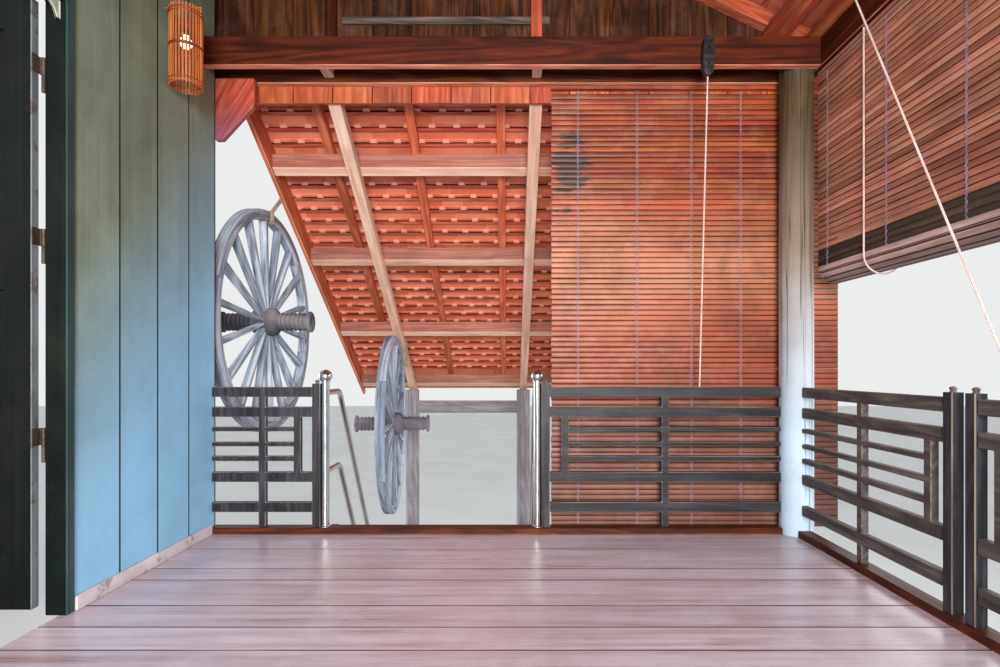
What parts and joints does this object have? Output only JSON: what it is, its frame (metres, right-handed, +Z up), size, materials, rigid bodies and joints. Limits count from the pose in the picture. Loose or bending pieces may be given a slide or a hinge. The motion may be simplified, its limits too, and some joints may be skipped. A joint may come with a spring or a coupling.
{
  "type": "stilt house veranda",
  "caption": "Raised timber veranda on round posts with board wall and door, rail panels, roll blinds, lean-to tile roof, and a steep stair under its own small roof.",
  "frame": {"origin": "foot of the round corner post beside the stair, at ground level on the post's axis", "axes": "+X from the house wall to the open side, +Y from the deck out over the stair, +Z up"},
  "size_m": [5.008, 9.02, 6.8017],
  "materials": {
    "frame_timber": "oiled hardwood, satin",
    "floor_timber": "polished hardwood boards",
    "post_timber": "bare pole, worn smooth, with long cracks",
    "pale_timber": "bare sawn boards",
    "rafter_timber": "bare orange hardwood, sawn",
    "rail_stain": "dark stain, worn at the edges",
    "wall_paint": "matt paint on boards, faded",
    "skirting_paint": "matt paint, scuffed",
    "casing_paint": "matt paint, scuffed",
    "door_paint": "gloss paint, dulled",
    "hinge_steel": "dull steel",
    "polished_steel": "polished tube",
    "clay_tile": "fired clay, matt",
    "bamboo": "split bamboo, dry",
    "rope": "laid cord",
    "weathered_timber": "bare, weathered grey",
    "bulb_glass": "frosted"
  },
  "bodies": {
    "veranda": {"bearers": "frame_timber", "joists": "frame_timber", "rim_boards": "frame_timber", "floor_boards": "floor_timber", "edge_sills": "frame_timber", "corner_post": "post_timber", "side_posts": "post_timber", "wall_posts": "frame_timber", "far_beam": "frame_timber", "inner_beams": "frame_timber", "beam_blocks": "pale_timber", "side_beam": "frame_timber", "side_plates": "frame_timber", "wall_far": "wall_paint", "wall_over_door": "wall_paint", "wall_near": "wall_paint", "wall_rails": "frame_timber", "wall_skirting": "skirting_paint", "wall_bracket": "frame_timber", "door_frame": "casing_paint", "frame_hinges": "hinge_steel", "roof_ledger": "frame_timber", "roof_rafters": "rafter_timber", "roof_tiles": "clay_tile", "ridge_cap": "clay_tile", "barge_boards": "rafter_timber", "gable_boards": "frame_timber", "gable_studs": "frame_timber", "far_rails": "rail_stain", "near_rail": "rail_stain", "side_rails": "rail_stain", "rail_posts": "rail_stain", "stair_stringers": "frame_timber", "stair_treads": "floor_timber", "handrails": "polished_steel", "stair_roof_posts": "pale_timber", "stair_roof_tie": "frame_timber", "principal_rafters": "pale_timber", "stair_purlins": "pale_timber", "stair_rafters": "rafter_timber", "stair_roof_tiles": "clay_tile", "stair_roof_trim": "pale_timber", "far_blind": "bamboo", "side_blinds": "bamboo", "blind_pulley": "frame_timber", "blind_ropes": "rope", "cart_wheel_near": "weathered_timber", "cart_wheel_far": "weathered_timber", "wheel_hubs": "weathered_timber", "wheel_lashings": "rope", "wall_lantern": "bamboo", "lantern_bulb": "bulb_glass"},
    "door": {"door_leaf": "door_paint", "leaf_hinges": "hinge_steel"}
  },
  "joints": [
    {"name": "door_hinge", "type": "hinge", "parent": "veranda", "child": "door", "pos_m": [-3.628, -1.154, 3], "axis": [0, 0, 1], "range_deg": [0, 90]}
  ]
}
